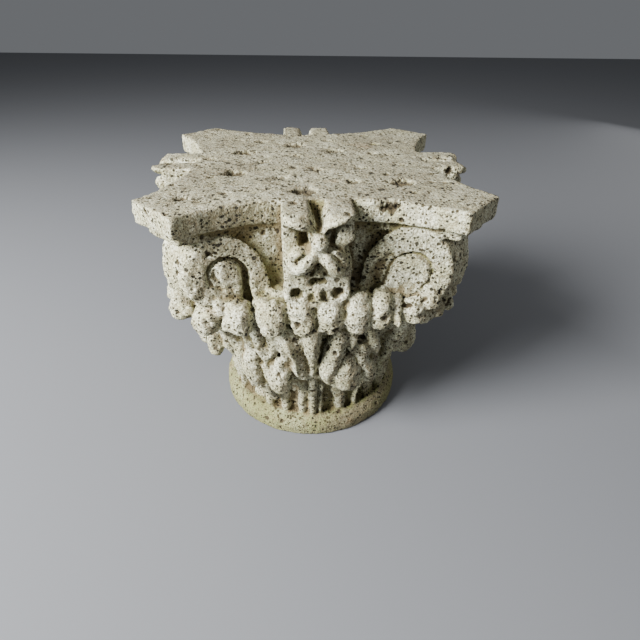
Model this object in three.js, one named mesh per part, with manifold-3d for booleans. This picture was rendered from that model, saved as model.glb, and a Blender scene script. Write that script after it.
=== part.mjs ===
// A Corinthian capital carved from one block of porous stone. Millimetres, +Z up.
// The origin is the centre of the underside, on the ground. The front looks along -Y.
import * as THREE from 'three';
import { mergeVertices } from 'three/addons/utils/BufferGeometryUtils.js';
import Module from 'manifold-3d';

const wasm = await Module();
wasm.setup();

// Overall sizes
const HEIGHT = 437;              // ground to the flat bed of the abacus
const HALF_WIDTH = 230;          // axis to the outermost corner of a horn
const HORN_SIDE = 172.5;         // the same corner, measured across
const QUARTER = Math.PI / 2;

// Base ring and bell
const RING = { radius: 165, height: 38, roundness: 14 };
const BELL = [[134, 38], [140, 190], [182, 410]];   // radius and height up the bell
const BELL_SIDES = 32;
const ROOT_DEPTH = 14;           // how far a leaf's body runs into the bell
const FOOT_HEIGHT = RING.height - 4;                // a leaf's body starts inside the ring

// Abacus: four hollow sides and four blunt horns
const SLAB = 30;                 // thickness of the abacus
const SIDE_RADIUS = 293;         // radius of each hollow side
const SIDE_CENTRE = 466;         // axis to the centre of that arc
const NECK = { height: 12, inset: 11 };

// Volutes, two to a corner, drawn on the face of the corner block
const VOLUTE = {
  corner: [172, 206],            // outer edge of a face: across, then out from the axis
  lean: 8 * Math.PI / 180,       // how far a face turns in towards the middle of its side
  width: 114, top: 402, shoulder: 344, bottom: 302, foot: 40, root: 282,
  overlap: 4,                    // how far the corner block runs into the neck
  eye: [55, 341], grooveDepth: 9,
};

// The spiral channel: it starts under the eye, runs over it and closes in on it.
const SPIRAL = {
  start: -62, sweep: 375,        // degrees
  radius: 34, drift: 9,          // radius at the start, and how much it loses on the wide run
  turnIn: 0.62, innerRadius: 28.4, closing: 46,
  halfWidth: 6.5, taper: 4, tall: 1.15, steps: 8,
};

// Fleuron in the middle of each side
const FLEURON = {
  halfWidth: 42, face: 226, back: 150, bottom: 314, knob: 402,
  knobRadius: 12, budRadius: 8, budHeight: 321,
  holes: [[-31, 329, 9], [27, 327, 9], [-2, 341, 11]],   // across, height, radius
  holeTaper: 0.8, drillLength: 40,
};
const PETAL = { reach: 46, start: 6, halfWidth: 19, halfDepth: 13, bulge: 3, tall: 1.12 };
const NOTCH = { radius: 26, squash: 0.65, length: 80, lift: 2, setBack: 4 };

// Leaves: height of the crest, and reach and lowest point of the tongues. A row's tongues are
// listed by their angle from the middle of the leaf and their half width, then their own reach,
// tip and depth. A body runs from its root to `drop` under the crest; from `spring` up it leans
// out from `waist` to `setBack` behind the tongues, and from `widen` up it spreads from `narrow`
// to `wide`. Angles are in radians.
const LOWER = {
  turn: 19 * Math.PI / 180, crest: 236, reach: 198, tip: 126,
  tongues: [[-0.19, 15, 189, 140, 14], [0.19, 15, 189, 132, 14]], middleHalf: 18,
  body: {
    root: FOOT_HEIGHT, drop: 12, spring: 90, waist: 149, setBack: 26,
    widen: 60, narrow: 0.16, wide: 0.3,
  },
};
const FOOT_RIB = { line: [[146, FOOT_HEIGHT], [158, 160]], half: 10 };
const MIDDLE = {
  crest: 322, reach: 220, tip: 255,
  tongues: [[0.094, 17, 220, 255], [0.268, 17, 223, 257], [0.46, 16, 232, 260]],
  body: {
    root: 185, drop: 4, spring: 190, waist: 150, setBack: 20, widen: 190, narrow: 0.1, wide: 0.5,
  },
};
const STEM = { line: [[142, FOOT_HEIGHT], [150, 150], [176, 220], [200, 272]], half: 15, depth: 13 };
const CORNER = {
  crest: 306, reach: 260, tip: 248,
  tongues: [[0.095, 20, 260, 248, 17], [0.27, 15, 240, 256, 15]],
  body: {
    root: FOOT_HEIGHT, drop: 2, spring: 160, waist: 146, setBack: 22,
    widen: 160, narrow: 0.09, wide: 0.24,
  },
};
const TONGUE = { depth: 15, curlBack: 36, curlDrop: 4, hang: 4 };

const stone = new THREE.MeshStandardMaterial({ color: 0xcfc9b4, roughness: 0.95, metalness: 0 });

// ---------- geometry helpers ----------

/** A closed geometry as a solid, whichever way round its faces were made. */
function solid(geometry) {
  const bare = geometry.clone();
  bare.deleteAttribute('normal');
  bare.deleteAttribute('uv');
  const merged = mergeVertices(bare, 1e-4);
  const points = merged.attributes.position;
  const faces = Array.from(merged.index.array);
  const [a, b, c] = [new THREE.Vector3(), new THREE.Vector3(), new THREE.Vector3()];
  let volume = 0;
  for (let i = 0; i < faces.length; i += 3) {
    a.fromBufferAttribute(points, faces[i]);
    b.fromBufferAttribute(points, faces[i + 1]);
    c.fromBufferAttribute(points, faces[i + 2]);
    volume += a.dot(b.cross(c));
  }
  const sound = [];
  for (let i = 0; i < faces.length; i += 3) {
    const [p, q, r] = [faces[i], faces[i + 1], faces[i + 2]];
    if (p === q || q === r || r === p) continue;
    sound.push(...(volume > 0 ? [p, q, r] : [p, r, q]));
  }
  return new wasm.Manifold(new wasm.Mesh({
    numProp: 3, vertProperties: new Float32Array(points.array), triVerts: new Uint32Array(sound),
  }));
}

/** A flat outline stood up between two heights. */
function prism(outline, low, high, curveSegments = 12) {
  const settings = { depth: high - low, bevelEnabled: false, curveSegments };
  return solid(new THREE.ExtrudeGeometry(outline, settings).translate(0, 0, low));
}

/** The point at an angle from the front, a radius from the axis and a height. */
function at(angle, radius, height) {
  return new THREE.Vector3(radius * Math.sin(angle), -radius * Math.cos(angle), height);
}

/** Radius of the bell at a height. */
function bellRadius(height) {
  const next = Math.max(1, BELL.findIndex(([, z]) => z >= height));
  const [[r0, z0], [r1, z1]] = [BELL[next - 1], BELL[next]];
  return r0 + (r1 - r0) * (height - z0) / (z1 - z0);
}

/**
 * A tongue: a ball drawn out along a curve, broad across `side`, blunt at both ends.
 * `swell` gives the width and the thickness as factors at a place from 0 to 1 along it.
 */
function tongue(points, side, halfWidth, halfDepth, options = {}) {
  const { around = 5, along = 4, blunt = 3.5, swell = () => [1, 1] } = options;
  const curve = new THREE.CatmullRomCurve3(points);
  const ball = new THREE.SphereGeometry(1, around, along);
  const place = ball.attributes.position;
  const across = side.clone().normalize();
  for (let i = 0; i < place.count; i++) {
    const [x, y, z] = [place.getX(i), place.getY(i), place.getZ(i)];
    const t = THREE.MathUtils.clamp((1 - y) / 2, 0, 1);
    const ring = Math.hypot(x, z);
    const full = Math.pow(1 - Math.pow(Math.abs(2 * t - 1), blunt), 1 / blunt);
    const girth = ring < 1e-6 ? 0 : full / ring;
    const [wide, deep] = swell(t);
    const outward = new THREE.Vector3().crossVectors(across, curve.getTangent(t)).normalize();
    const moved = curve.getPoint(t)
      .addScaledVector(across, x * girth * halfWidth * wide)
      .addScaledVector(outward, z * girth * halfDepth * deep);
    place.setXYZ(i, moved.x, moved.y, moved.z);
  }
  return solid(ball);
}

/** The flat-faced body of a leaf: `out` and `halfAngle` give its face and edges at a height. */
function backing(angle, low, high, out, halfAngle, rows = 3) {
  const slab = new THREE.BoxGeometry(2, 1, high - low, 1, 1, rows);
  const place = slab.attributes.position;
  for (let i = 0; i < place.count; i++) {
    const [u, v] = [place.getX(i), place.getY(i)];
    const z = place.getZ(i) + (low + high) / 2;
    const turn = u * halfAngle(z);
    const radius = v < 0 ? out(z) / Math.cos(turn) : bellRadius(z) - ROOT_DEPTH;
    const spot = at(angle + turn, radius, z);
    place.setXYZ(i, spot.x, spot.y, spot.z);
  }
  return solid(slab);
}

/** Four copies of a solid, one to a side. */
function fourfold(part) {
  return wasm.Manifold.union([0, 90, 180, 270].map((turn) => part.rotate([0, 0, turn])));
}

/** Soft blend from one value to another between two heights. */
function blend(height, low, high, from, to) {
  const t = THREE.MathUtils.clamp((height - low) / (high - low), 0, 1);
  return from + (to - from) * t * t * (3 - 2 * t);
}

// ---------- sub-forms ----------

/** Base ring and bell, turned about the axis. */
function core() {
  const profile = [new THREE.Vector2(0, 0)];
  const steps = 4;
  for (let i = 0; i <= steps; i++) {
    const a = -Math.PI / 2 + Math.PI * i / steps;
    profile.push(new THREE.Vector2(
      RING.radius - RING.roundness * (1 - Math.cos(a)), RING.height / 2 * (1 + Math.sin(a)),
    ));
  }
  for (const [r, z] of BELL) profile.push(new THREE.Vector2(r, z));
  profile.push(new THREE.Vector2(0, BELL.at(-1)[1]));
  return solid(new THREE.LatheGeometry(profile, BELL_SIDES).rotateX(Math.PI / 2));
}

/** Plan of the abacus, drawn in by an inset all round. */
function abacusPlan(inset) {
  const outline = new THREE.Shape();
  const radius = SIDE_RADIUS + inset;
  const reach = HALF_WIDTH + HORN_SIDE - inset * Math.SQRT2;
  const half = Math.PI / 4 + Math.asin((reach - SIDE_CENTRE) / (Math.SQRT2 * radius));
  for (let side = 0; side < 4; side++) {
    const facing = -QUARTER + side * QUARTER;
    const centre = [Math.cos(facing) * SIDE_CENTRE, Math.sin(facing) * SIDE_CENTRE];
    const back = facing + Math.PI;
    outline.absarc(...centre, radius, back + half, back - half, true);
  }
  return outline;
}

/** The abacus slab, with the narrower neck under it. */
function abacus() {
  const slab = prism(abacusPlan(0), HEIGHT - SLAB, HEIGHT, 5);
  const neck = prism(abacusPlan(NECK.inset), HEIGHT - SLAB - NECK.height, HEIGHT - SLAB + 1, 4);
  return slab.add(neck);
}

/** Plan of the corner blocks: the faces that the volutes are drawn on. */
function voluteZone() {
  const [across, out] = VOLUTE.corner;
  const inner = across - VOLUTE.width * Math.cos(VOLUTE.lean);
  const drop = VOLUTE.width * Math.sin(VOLUTE.lean);
  const corners = [];
  for (let side = 0; side < 4; side++) {
    const turn = side * QUARTER;
    const line = [[-across, -out], [-inner, drop - out], [inner, drop - out], [across, -out]];
    for (const [x, y] of line) {
      const spot = new THREE.Vector2(x, y).rotateAround(new THREE.Vector2(), turn);
      corners.push(spot);
    }
  }
  return prism(new THREE.Shape(corners), VOLUTE.root, VOLUTE.top + VOLUTE.overlap);
}

/** The scroll's outline seen from the side of a corner, swept across that corner. */
function scrollBlock() {
  const { width, shoulder, bottom, foot, root, lean, corner: [across, out] } = VOLUTE;
  const slope = (Math.cos(lean) + Math.sin(lean)) / Math.SQRT2;
  const diagonal = (s) => (across + out) / Math.SQRT2 - s * slope;
  const half = width / 2;
  const outline = new THREE.Shape();
  outline.moveTo(diagonal(width), root);
  outline.lineTo(diagonal(width), shoulder);
  const [crownSteps, footSteps] = [6, 3];
  for (let i = 1; i <= crownSteps; i++) {
    const a = Math.PI * i / crownSteps;
    const rise = (VOLUTE.top - shoulder) * Math.sin(a);
    outline.lineTo(diagonal(half + half * Math.cos(a)), shoulder + rise);
  }
  for (let i = 1; i <= footSteps; i++) {
    const a = QUARTER * i / footSteps;
    const fall = (shoulder - bottom) * Math.sin(a);
    outline.lineTo(diagonal(foot * (1 - Math.cos(a))), shoulder - fall);
  }
  outline.lineTo(diagonal(foot), root);
  const sweep = new THREE.ExtrudeGeometry(outline, { depth: 2 * width, bevelEnabled: false });
  sweep.translate(0, 0, -width).rotateX(QUARTER).rotateZ(-Math.PI / 4);
  return solid(sweep);
}

/** The spiral channel round a volute's eye, in the plane of the face. */
function spiralChannel() {
  const { start, sweep, radius, drift, turnIn, innerRadius, closing, halfWidth, taper } = SPIRAL;
  const [inner, outer] = [[], []];
  const spot = (reach, angle) => new THREE.Vector2(
    VOLUTE.eye[0] + reach * Math.cos(angle), VOLUTE.eye[1] + SPIRAL.tall * reach * Math.sin(angle),
  );
  for (let i = 0; i <= SPIRAL.steps; i++) {
    const t = i / SPIRAL.steps;
    const angle = THREE.MathUtils.degToRad(start + sweep * t);
    const reach = t < turnIn ? radius - drift * t : innerRadius - closing * (t - turnIn);
    const half = halfWidth - taper * t;
    inner.push(spot(reach - half, angle));
    outer.unshift(spot(reach + half, angle));
  }
  return new THREE.Shape([...inner, ...outer]);
}

/** Eight volutes: four corner blocks, each with a spiral sunk into both faces. */
function volutes() {
  const [across, out] = VOLUTE.corner;
  const blocks = fourfold(scrollBlock()).intersect(voluteZone());
  const clear = { depth: 60, bevelEnabled: false };
  const channel = new THREE.ExtrudeGeometry(spiralChannel(), clear);
  channel.translate(0, 0, -VOLUTE.grooveDepth).rotateX(QUARTER);
  const right = channel.clone().scale(-1, 1, 1).rotateZ(-VOLUTE.lean).translate(across, -out, 0);
  const left = channel.clone().rotateZ(VOLUTE.lean).translate(-across, -out, 0);
  return blocks.subtract(fourfold(solid(right).add(solid(left))));
}

/** One petal of a fleuron, from the knob out to a corner of its block. */
function petal(angle) {
  const { reach, start, halfWidth, halfDepth, bulge, tall } = PETAL;
  const [dx, dz] = [Math.cos(angle), Math.sin(angle)];
  const spot = (far, out) => new THREE.Vector3(far * dx, -out, FLEURON.knob + far * dz * tall);
  const path = [
    spot(start, FLEURON.face), spot(reach / 2, FLEURON.face + bulge), spot(reach, FLEURON.face),
  ];
  const swell = (t) => [0.75 + 0.35 * t, 1];
  return tongue(path, new THREE.Vector3(-dz, 0, dx), halfWidth, halfDepth, { blunt: 2.6, swell });
}

/** A fleuron: a block with four petals round a knob, a bud and drilled holes below. */
function fleuron() {
  const { halfWidth, face, back, bottom, knob, knobRadius, budRadius, budHeight } = FLEURON;
  const height = HEIGHT - bottom;
  const block = new THREE.BoxGeometry(2 * halfWidth, face - back, height);
  let flower = solid(block.translate(0, -(face + back) / 2, bottom + height / 2));
  for (const turn of [1, 3, 5, 7]) flower = flower.add(petal(turn * Math.PI / 4));
  for (const [x, z, radius] of FLEURON.holes) {
    const tip = radius * FLEURON.holeTaper;
    const drill = new THREE.CylinderGeometry(radius, tip, FLEURON.drillLength, 6);
    flower = flower.subtract(solid(drill.translate(x, -face, z)));
  }
  const notch = new THREE.CylinderGeometry(NOTCH.radius, NOTCH.radius, NOTCH.length, 3);
  notch.rotateY(Math.PI).scale(NOTCH.squash, 1, 1);
  notch.translate(0, NOTCH.setBack - face, HEIGHT + NOTCH.lift);
  flower = flower.subtract(solid(notch));
  const ball = new THREE.SphereGeometry(knobRadius, 6, 4).translate(0, -face - knobRadius / 2, knob);
  const bud = new THREE.SphereGeometry(budRadius, 5, 3).translate(0, 3 - face, budHeight);
  flower = flower.add(solid(ball)).add(solid(bud));
  const above = 100;
  const ceiling = new THREE.BoxGeometry(2 * above, 2 * above, above);
  return flower.subtract(solid(ceiling.translate(0, -face, HEIGHT + above / 2)));
}

/** A leaf tongue that leaves the crest of its leaf, turns over and hangs. */
function hangingTongue(angle, row, halfWidth, options = {}) {
  const { reach = row.reach, tip = row.tip, depth = TONGUE.depth } = options;
  const path = [
    at(angle, row.reach - TONGUE.curlBack, row.crest - TONGUE.curlDrop),
    at(angle, reach - depth, (row.crest + tip) / 2),
    at(angle, reach - depth - TONGUE.hang, tip),
  ];
  return tongue(path, at(angle + QUARTER, 1, 0), halfWidth, depth, options);
}

/** The body behind the tongues of a leaf. */
function leafBody(angle, { crest, reach, body }) {
  const face = (z) => blend(z, body.spring, crest, body.waist, reach - body.setBack);
  const width = (z) => blend(z, body.widen, crest, body.narrow, body.wide);
  return backing(angle, body.root, crest - body.drop, face, width);
}

/** One tongue out of a row's list, turned to its place on a leaf, or to the mirrored place. */
function listedTongue(angle, row, [turn, half, reach, tip, depth], mirror = 1) {
  return hangingTongue(angle + mirror * turn, row, half, { reach, tip, depth });
}

/** One leaf of the lower row: a fat middle tongue between two slimmer ones, on a ribbed foot. */
function lowerLeaf(angle) {
  const bulb = (t) => [0.75 + 0.35 * t, 0.85 + 0.35 * t];
  const { half } = FOOT_RIB;
  const line = FOOT_RIB.line.map(([radius, z]) => at(angle, radius, z));
  const shape = { around: 4, along: 3, blunt: 5 };
  return wasm.Manifold.union([
    leafBody(angle, LOWER),
    hangingTongue(angle, LOWER, LOWER.middleHalf, { around: 6, swell: bulb }),
    ...LOWER.tongues.map((row) => listedTongue(angle, LOWER, row)),
    tongue(line, at(angle + QUARTER, 1, 0), half, half, shape),
  ]);
}

/** The leaf under a fleuron: a row of six hanging tongues over a long tapering stem. */
function middleLeaf() {
  const line = STEM.line.map(([radius, z]) => at(0, radius, z));
  const taper = (t) => [0.45 + 0.75 * t * t, 1];
  const shape = { around: 5, along: 5, blunt: 8, swell: taper };
  const stem = tongue(line, new THREE.Vector3(1, 0, 0), STEM.half, STEM.depth, shape);
  const hanging = MIDDLE.tongues.flatMap((row) => [
    listedTongue(0, MIDDLE, row, -1), listedTongue(0, MIDDLE, row),
  ]);
  return wasm.Manifold.union([leafBody(0, MIDDLE), stem, ...hanging]);
}

/** The leaf under a pair of volutes: four tongues turned out beneath the horn. */
function cornerLeaf() {
  const middle = Math.PI / 4;
  const hanging = CORNER.tongues.flatMap((row) => [
    listedTongue(middle, CORNER, row, -1), listedTongue(middle, CORNER, row),
  ]);
  return wasm.Manifold.union([leafBody(middle, CORNER), ...hanging]);
}

// ---------- the capital ----------

/** A solid as a named mesh. */
function mesh(name, part) {
  const { numProp, vertProperties, triVerts } = part.getMesh();
  const geometry = new THREE.BufferGeometry();
  const points = new Float32Array(vertProperties.length / numProp * 3);
  for (let i = 0; i < points.length / 3; i++) {
    for (let k = 0; k < 3; k++) points[3 * i + k] = vertProperties[numProp * i + k];
  }
  geometry.setAttribute('position', new THREE.BufferAttribute(points, 3));
  geometry.setIndex(Array.from(triVerts));
  geometry.computeVertexNormals();
  const piece = new THREE.Mesh(geometry, stone);
  piece.name = name;
  return piece;
}

const lowerLeaves = wasm.Manifold.union([-1, 1].map((side) => lowerLeaf(side * LOWER.turn)));
const quarter = wasm.Manifold.union([lowerLeaves, middleLeaf(), cornerLeaf(), fleuron()]);
const whole = core().add(fourfold(quarter)).add(volutes()).add(abacus());

const capital = new THREE.Group();
capital.add(mesh('capital', whole));
export default capital;
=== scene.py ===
"""A Corinthian capital carved from one block of porous stone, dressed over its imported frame.

Lengths in the carving classes are millimetres, and become metres when the block is finished.
The front looks along -Y. Angles are degrees round the axis from the front, positive to the right.
"""

import logging
import math
from dataclasses import dataclass
from enum import Enum
from typing import Any, Callable, Iterable, Sequence

import bmesh
import bpy
import numpy as np
from mathutils import Matrix, Vector, noise


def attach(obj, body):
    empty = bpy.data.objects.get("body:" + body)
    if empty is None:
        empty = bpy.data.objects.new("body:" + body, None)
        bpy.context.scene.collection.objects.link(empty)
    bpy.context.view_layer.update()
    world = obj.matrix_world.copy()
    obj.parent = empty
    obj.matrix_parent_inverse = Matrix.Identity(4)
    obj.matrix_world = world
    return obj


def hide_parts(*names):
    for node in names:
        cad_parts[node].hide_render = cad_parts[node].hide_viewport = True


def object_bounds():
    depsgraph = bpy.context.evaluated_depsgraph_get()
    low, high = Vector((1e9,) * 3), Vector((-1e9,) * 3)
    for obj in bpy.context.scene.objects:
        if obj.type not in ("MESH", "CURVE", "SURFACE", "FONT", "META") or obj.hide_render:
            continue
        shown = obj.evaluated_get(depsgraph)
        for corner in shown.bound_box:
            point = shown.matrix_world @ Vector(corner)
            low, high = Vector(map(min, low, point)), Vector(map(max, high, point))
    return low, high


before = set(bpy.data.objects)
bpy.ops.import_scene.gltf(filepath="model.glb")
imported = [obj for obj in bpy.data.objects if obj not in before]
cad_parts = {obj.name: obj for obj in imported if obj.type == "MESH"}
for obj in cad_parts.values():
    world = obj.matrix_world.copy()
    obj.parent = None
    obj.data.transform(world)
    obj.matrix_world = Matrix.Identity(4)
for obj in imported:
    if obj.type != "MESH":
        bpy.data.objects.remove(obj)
CAD_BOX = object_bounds()
LOG = logging.getLogger("capital")

HEIGHT = 437.0
UNIT = (CAD_BOX[1].z - CAD_BOX[0].z) / HEIGHT

# How fine the skin is, in millimetres, before and after the channels are cut, and its last count
FUSED_VOXEL = 2.2
CARVED_VOXEL = 1.8
TRIANGLES = 190_000


class Side(Enum):
    """The four sides of the capital, by the turn that brings the front to each."""

    FRONT = 0
    RIGHT = 90
    BACK = 180
    LEFT = 270


def polar(angle: float, radius: float, height: float) -> Vector:
    """The spot at an angle, a radius from the axis and a height."""
    turn = math.radians(angle)
    return Vector((radius * math.sin(turn), -radius * math.cos(turn), height))


def flat(across: float, out: float, height: float) -> Vector:
    """The spot on a face of the front: across it, out from the axis, and its height."""
    return Vector((across, -out, height))


def smooth_step(value: float, low: float, high: float) -> float:
    """A soft ramp from 0 at low to 1 at high."""
    t = min(1.0, max(0.0, (value - low) / (high - low)))
    return t * t * (3 - 2 * t)


def between(value: float, low: float, high: float, first: float, last: float) -> float:
    """A soft blend from first to last while value goes from low to high."""
    return first + (last - first) * smooth_step(value, low, high)


def fading(values: np.ndarray, low: float, high: float) -> np.ndarray:
    """A straight fall from 1 at low to 0 at high."""
    return np.clip((high - values) / (high - low), 0, 1)


class Path:
    """A smooth line through a few spots."""

    def __init__(self, spots: Sequence[Vector]) -> None:
        """Keeps the spots, with one more beyond each end."""
        head = spots[0] * 2 - spots[1]
        tail = spots[-1] * 2 - spots[-2]
        self.spots = [head, *spots, tail]

    def at(self, share: float) -> Vector:
        """The spot at a share of the way along, from 0 to 1.

        Args:
            share: How far along, from 0 to 1.

        Returns:
            The spot.
        """
        spans = len(self.spots) - 3
        place = min(max(share, 0.0), 1.0) * spans
        first = min(int(place), spans - 1)
        t = place - first
        a, b, c, d = self.spots[first : first + 4]
        return (
            b * 2 + (c - a) * t
            + (a * 2 - b * 5 + c * 4 - d) * t * t
            + (b * 3 - a - c * 3 + d) * t ** 3
        ) * 0.5

    def heading(self, share: float) -> Vector:
        """The direction of travel at a share of the way along."""
        step = 0.02
        return (self.at(share + step) - self.at(share - step)).normalized()


class Form:
    """One closed form in millimetres, shaped with bmesh operators."""

    def __init__(self) -> None:
        """Starts with nothing."""
        self.bm = bmesh.new()

    @classmethod
    def ball(cls, around: int = 20, along: int = 14) -> "Form":
        """A ball of radius 1 with its poles up and down."""
        form = cls()
        bmesh.ops.create_uvsphere(form.bm, u_segments=around, v_segments=along, radius=1.0)
        return form

    @classmethod
    def block(cls, cuts: int = 0) -> "Form":
        """A cube from -1 to 1, each edge cut into equal parts."""
        form = cls()
        bmesh.ops.create_cube(form.bm, size=2.0)
        if cuts:
            bmesh.ops.subdivide_edges(
                form.bm, edges=form.bm.edges[:], cuts=cuts, use_grid_fill=True
            )
        return form

    @classmethod
    def plate(cls, outline: Sequence[Vector], rise: Vector) -> "Form":
        """A flat outline drawn out along one direction.

        Args:
            outline: The corners of the outline, in order.
            rise: How far and which way it is drawn out.

        Returns:
            The closed plate.
        """
        form = cls()
        corners = [form.bm.verts.new(spot) for spot in outline]
        face = form.bm.faces.new(corners)
        grown = bmesh.ops.extrude_face_region(form.bm, geom=[face])["geom"]
        lifted = [g for g in grown if isinstance(g, bmesh.types.BMVert)]
        bmesh.ops.translate(form.bm, vec=rise, verts=lifted)
        return form.tidy()

    @classmethod
    def turned(cls, profile: Sequence[tuple[float, float]], steps: int = 96) -> "Form":
        """A profile of radius and height spun once round the axis.

        Args:
            profile: Radius and height, from the axis back to the axis.
            steps: How many parts a full turn has.

        Returns:
            The closed form.
        """
        form = cls()
        verts = [form.bm.verts.new((r, 0.0, z)) for r, z in profile]
        edges = [form.bm.edges.new(pair) for pair in zip(verts, verts[1:])]
        bmesh.ops.spin(
            form.bm, geom=verts + edges, axis=(0, 0, 1), cent=(0, 0, 0),
            angle=math.tau, steps=steps, use_merge=True,
        )
        bmesh.ops.remove_doubles(form.bm, verts=form.bm.verts[:], dist=0.01)
        return form.tidy()

    def tidy(self) -> "Form":
        """Turns every face outwards."""
        bmesh.ops.recalc_face_normals(self.bm, faces=self.bm.faces[:])
        return self

    def moved(self, move: Callable[[Vector], Vector]) -> "Form":
        """Puts each point where `move` says."""
        for vert in self.bm.verts:
            vert.co = move(vert.co.copy())
        return self.tidy()

    def spun(self, degrees: float) -> "Form":
        """Turns the form about the capital's axis."""
        matrix = Matrix.Rotation(math.radians(degrees), 3, "Z")
        bmesh.ops.rotate(self.bm, cent=(0, 0, 0), matrix=matrix, verts=self.bm.verts[:])
        return self

    def cut(self, spot: Vector, normal: Vector) -> "Form":
        """Slices off what lies beyond a plane and closes the face that is left.

        Args:
            spot: A spot on the plane.
            normal: The side that goes.

        Returns:
            The form itself.
        """
        whole = self.bm.verts[:] + self.bm.edges[:] + self.bm.faces[:]
        sliced = bmesh.ops.bisect_plane(
            self.bm, geom=whole, plane_co=spot, plane_no=normal, clear_outer=True
        )["geom_cut"]
        rim = [g for g in sliced if isinstance(g, bmesh.types.BMEdge)]
        bmesh.ops.holes_fill(self.bm, edges=rim)
        return self.tidy()


@dataclass(frozen=True)
class Tongue:
    """A lobe of a leaf: a ball drawn out along a line, blunt at both ends."""

    line: tuple[Vector, ...]
    half_width: float
    half_depth: float
    start: float = 0.8
    end: float = 1.0
    blunt: float = 2.8
    side: Vector | None = None

    def form(self) -> Form:
        """The lobe as a closed form."""
        path = Path(self.line)
        middle = path.at(0.5)
        side = (self.side or Vector((-middle.y, middle.x, 0.0))).normalized()

        def place(spot: Vector) -> Vector:
            share = (1 - spot.z) / 2
            ring = math.hypot(spot.x, spot.y)
            if ring < 1e-5:
                return path.at(share)
            girth = (1 - abs(2 * share - 1) ** self.blunt) ** (1 / self.blunt)
            wide = self.start + (self.end - self.start) * smooth_step(share, 0.0, 0.85)
            out = path.heading(share).cross(side).normalized()
            u, v = spot.x / ring, spot.y / ring
            lift = v * girth * self.half_depth * (0.6 + 0.4 * wide)
            return path.at(share) + side * (u * girth * self.half_width * wide) + out * lift

        return Form.ball().moved(place)


@dataclass(frozen=True)
class Backing:
    """The body of a leaf behind its lobes, curved round the bell."""

    angle: float
    low: float
    high: float
    out: Callable[[float], float]
    spread: Callable[[float], float]
    inner: float = 120.0

    def form(self) -> Form:
        """The body as a closed form."""

        def place(spot: Vector) -> Vector:
            height = self.low + (spot.z + 1) / 2 * (self.high - self.low)
            radius = self.out(height) if spot.y < 0 else self.inner
            return polar(self.angle + spot.x * self.spread(height), radius, height)

        return Form.block(8).moved(place)


@dataclass(frozen=True)
class Face:
    """A flat face that grooves are cut into, with its height up the capital's axis."""

    origin: Vector
    across: Vector
    normal: Vector
    reach: float = 16.0


@dataclass(frozen=True)
class Groove:
    """A channel along stations of across, height, half width and depth."""

    face: Face
    stations: tuple[tuple[float, float, float, float], ...]
    steep: float = 3.0

    def cut(self, points: np.ndarray) -> np.ndarray:
        """Sinks the points that lie in the channel.

        Args:
            points: The block's points, in millimetres.

        Returns:
            The points after the cut.
        """
        origin, across, normal = (
            np.array(v) for v in (self.face.origin, self.face.across, self.face.normal)
        )
        rel = points - origin
        away = rel @ normal
        near = np.abs(away) < self.face.reach
        spot = np.stack([rel[near] @ across, points[near, 2]], axis=1)
        sunk = np.zeros(len(spot))
        stations = self.stations if len(self.stations) > 1 else self.stations * 2
        for a, b in zip(stations, stations[1:]):
            start, run = np.array(a[:2]), np.array(b[:2]) - np.array(a[:2])
            share = np.clip((spot - start) @ run / max(run @ run, 1e-9), 0, 1)
            gap = np.linalg.norm(spot - start - share[:, None] * run, axis=1)
            width = a[2] + (b[2] - a[2]) * share
            depth = a[3] + (b[3] - a[3]) * share
            sunk = np.maximum(sunk, depth * np.clip(1 - (gap / width) ** self.steep, 0, 1))
        points = points.copy()
        points[near] -= sunk[:, None] * normal
        return points


@dataclass(frozen=True)
class BaseRing:
    """The plain rounded ring that the capital stands on, and the bell above it."""

    radius: float = 169.0
    height: float = 38.0
    roundness: float = 17.0
    foot: float = 134.0
    bell: tuple[tuple[float, float], ...] = (
        (140.0, 190.0), (164.0, 325.0), (169.0, 390.0), (182.0, 412.0),
    )

    def forms(self) -> list[Form]:
        """Ring and bell, turned as one."""
        profile = [(0.0, 0.0), (self.radius - 2, 0.0), (self.radius - 0.5, 4.0)]
        for step in range(11):
            turn = math.pi / 2 * step / 10
            profile.append((
                self.radius - self.roundness * (1 - math.cos(turn)),
                self.height - self.roundness * 1.25 * (1 - math.sin(turn)),
            ))
        profile += [(self.foot + 6, self.height - 4), (self.foot, self.height)]
        profile += [*self.bell, (0.0, self.bell[-1][1])]
        return [Form.turned(profile)]


@dataclass(frozen=True)
class Abacus:
    """The slab on top: four hollow sides and four blunt horns."""

    half_width: float = 230.0
    horn_side: float = 172.5
    side_radius: float = 293.0
    side_centre: float = 466.0
    slab: float = 30.0
    neck: float = 14.0
    neck_inset: float = 11.0

    def plan(self, inset: float, height: float) -> list[Vector]:
        """Corners of the plan, drawn in by an inset.

        Args:
            inset: How far the plan is drawn in.
            height: How high it lies.

        Returns:
            The corners, in order.
        """
        radius = self.side_radius + inset
        reach = self.half_width + self.horn_side - inset * math.sqrt(2)
        half = math.pi / 4 + math.asin((reach - self.side_centre) / (math.sqrt(2) * radius))
        steps = 24
        corners = []
        for side in Side:
            facing = math.radians(side.value) - math.pi / 2
            centre = Vector((math.cos(facing), math.sin(facing), 0)) * self.side_centre
            for step in range(steps + 1):
                turn = facing + math.pi + half - 2 * half * step / steps
                arc = Vector((math.cos(turn), math.sin(turn), 0)) * radius
                corners.append(centre + arc + Vector((0, 0, height)))
        return corners

    def forms(self) -> list[Form]:
        """The slab and the narrower neck under it."""
        low = HEIGHT - self.slab
        return [
            Form.plate(self.plan(0.0, low), Vector((0, 0, self.slab))),
            Form.plate(self.plan(self.neck_inset, low - self.neck), Vector((0, 0, self.neck + 2))),
        ]


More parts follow.
